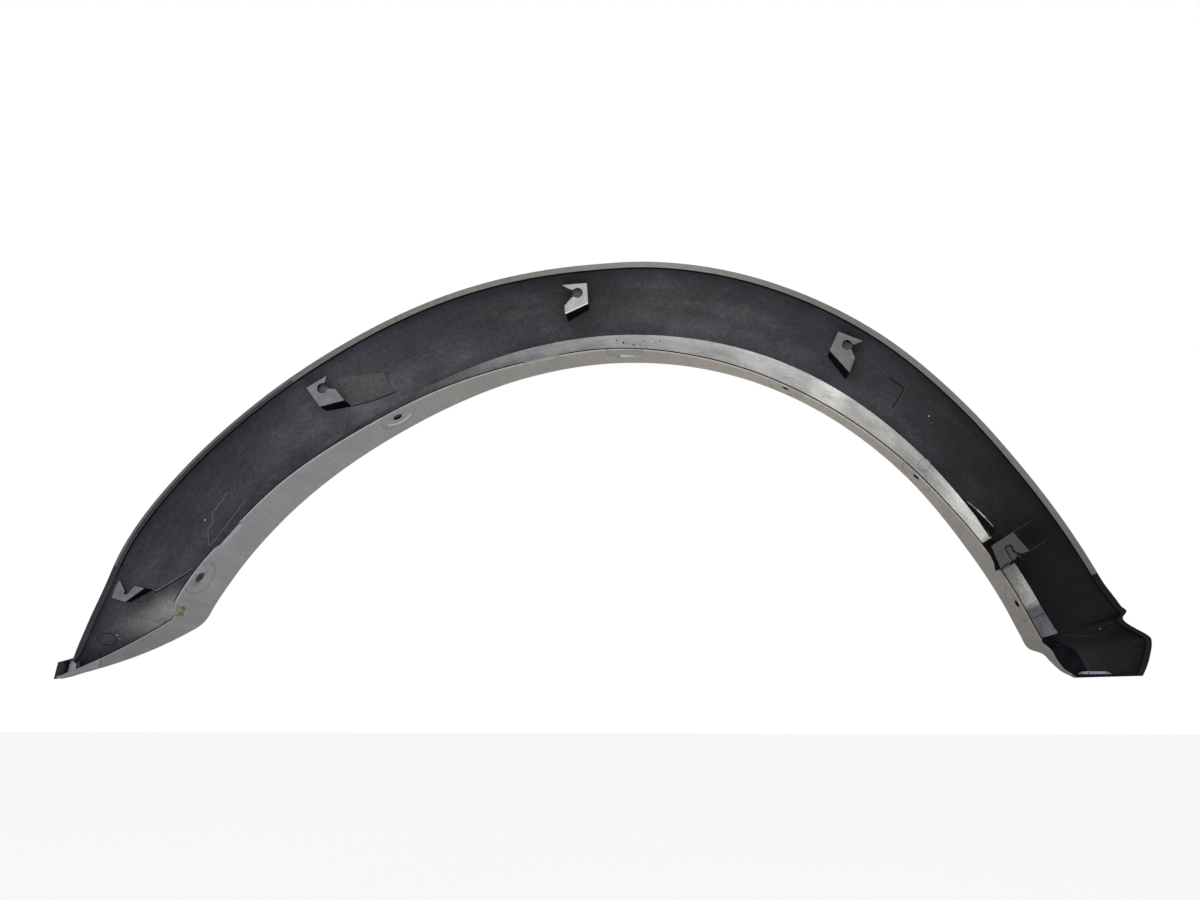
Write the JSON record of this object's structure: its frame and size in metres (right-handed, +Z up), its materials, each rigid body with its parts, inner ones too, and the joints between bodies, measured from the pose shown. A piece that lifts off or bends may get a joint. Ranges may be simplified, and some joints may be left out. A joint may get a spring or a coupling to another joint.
{
  "type": "wheel arch trim",
  "caption": "Moulded plastic flare for the edge of a wheel opening: a curved panel with a return flange, keyhole clip towers behind it and a closed tip.",
  "frame": {"origin": "centre of the top clip tower's keyhole, on the plate's face towards the body", "axes": "+X along the body, to the right when the back is seen; +Z up; +Y outwards from the car, from the back to the show face"},
  "size_m": [0.9688, 0.0583, 0.3784],
  "materials": {
    "dark_plastic": "bare moulded dark grey polypropylene, with dull grey paint on the return flange, the outer edge and the show face"
  },
  "bodies": {
    "root": {"arch_trim": "dark_plastic"}
  },
  "joints": []
}
